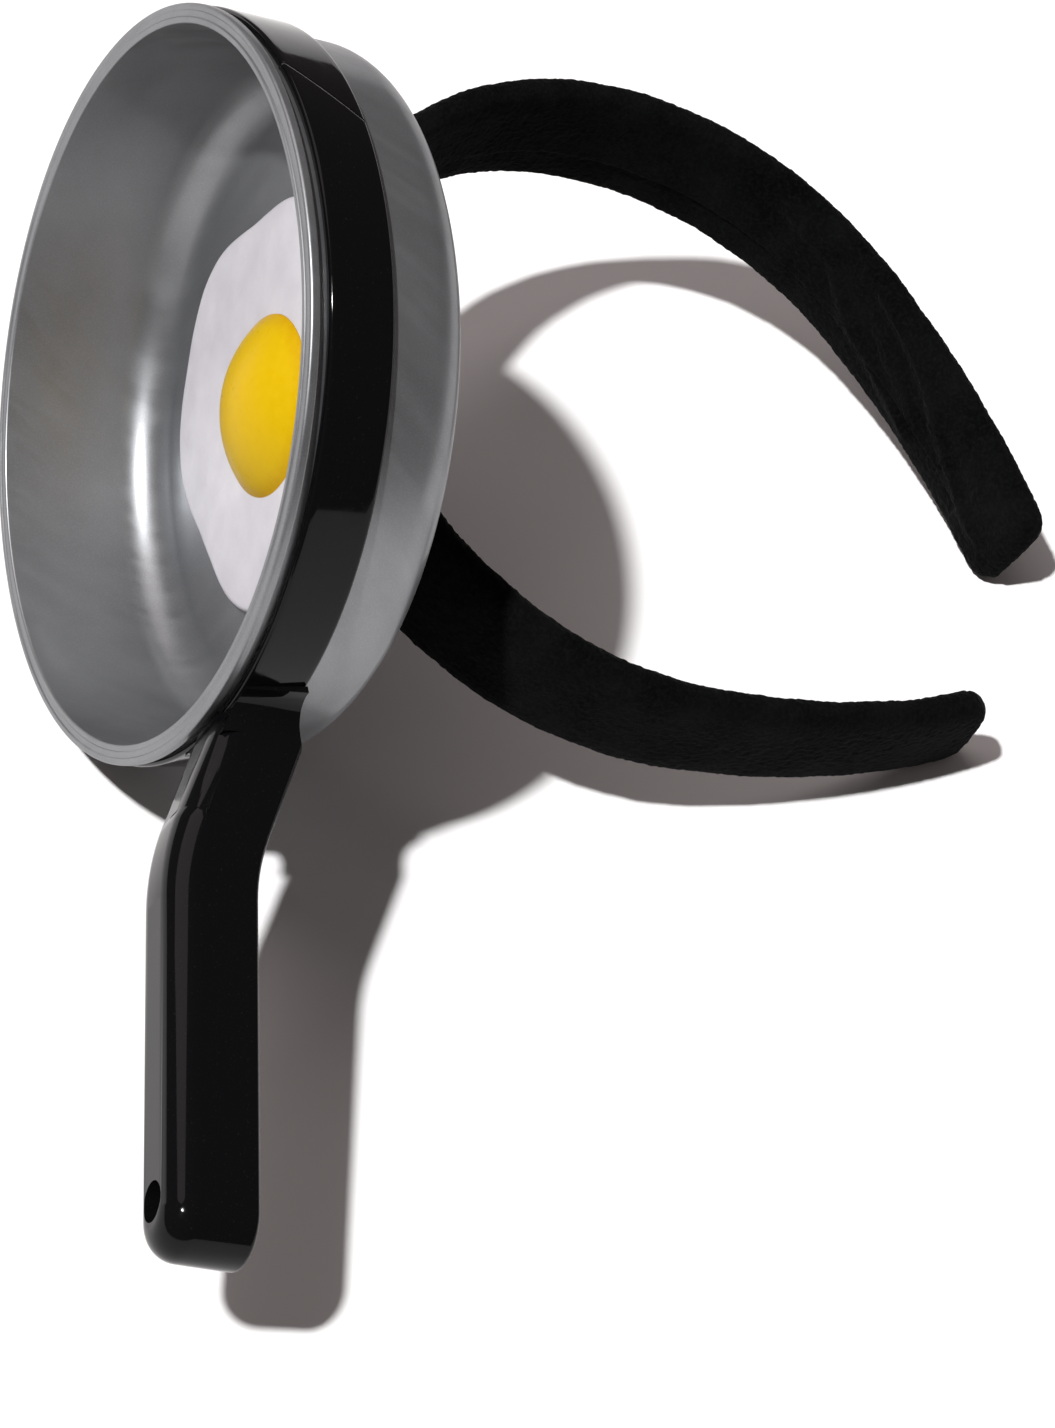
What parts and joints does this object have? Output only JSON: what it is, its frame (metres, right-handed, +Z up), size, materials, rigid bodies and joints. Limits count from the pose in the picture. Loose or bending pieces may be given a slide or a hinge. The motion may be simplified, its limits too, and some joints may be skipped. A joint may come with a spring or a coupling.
{
  "type": "novelty frying pan headband",
  "caption": "Padded velvet hoop headband with a toy frying pan and fried egg on its side; its arms spring open to fit a head.",
  "frame": {"origin": "under the centre of the part's outline, on the surface it rests on", "axes": "The headband lies on its side. +Z is up. The hoop's crown points to -Y and its tips to +Y, and the pan's handle points to +X. The pan opens towards -Y and +X, a little upwards."},
  "size_m": [0.2625, 0.1872, 0.1246],
  "materials": {
    "silver_plastic": "satin silver-grey metallic plastic",
    "black_plastic": "glossy moulded plastic",
    "egg_white": "smooth, slightly waxy",
    "egg_yolk": "smooth satin",
    "glue": "set hot-melt glue",
    "core_plastic": "plain moulded strip",
    "foam": "soft foam",
    "velvet": "short-pile velvet",
    "lining": "flat velvet edge, glued down"
  },
  "bodies": {
    "crown": {"pan_bowl": "silver_plastic", "pan_ring": "black_plastic", "handle": "black_plastic", "egg_white": "egg_white", "egg_yolk": "egg_yolk", "egg_glue": "glue", "pan_glue": "glue", "core_crown": "core_plastic", "foam_crown": "foam", "velvet_crown": "velvet", "lining_crown": "lining"},
    "arm_left": {"core_left": "core_plastic", "foam_left": "foam", "velvet_left": "velvet", "lining_left": "lining", "tuck_left": "velvet"},
    "arm_right": {"core_right": "core_plastic", "foam_right": "foam", "velvet_right": "velvet", "lining_right": "lining", "tuck_right": "velvet"}
  },
  "joints": [
    {"name": "flex_left", "type": "hinge", "parent": "crown", "child": "arm_left", "pos_m": [-0.11916, -0.01716, 0.04845], "axis": [0, 0.3492, 0.9371], "range_deg": [0, 14], "stiffness_Nm_per_rad": 1.1},
    {"name": "flex_right", "type": "hinge", "parent": "crown", "child": "arm_right", "pos_m": [-0.00939, -0.01716, 0.04845], "axis": [0, -0.3492, -0.9371], "range_deg": [0, 14], "stiffness_Nm_per_rad": 1.1}
  ]
}
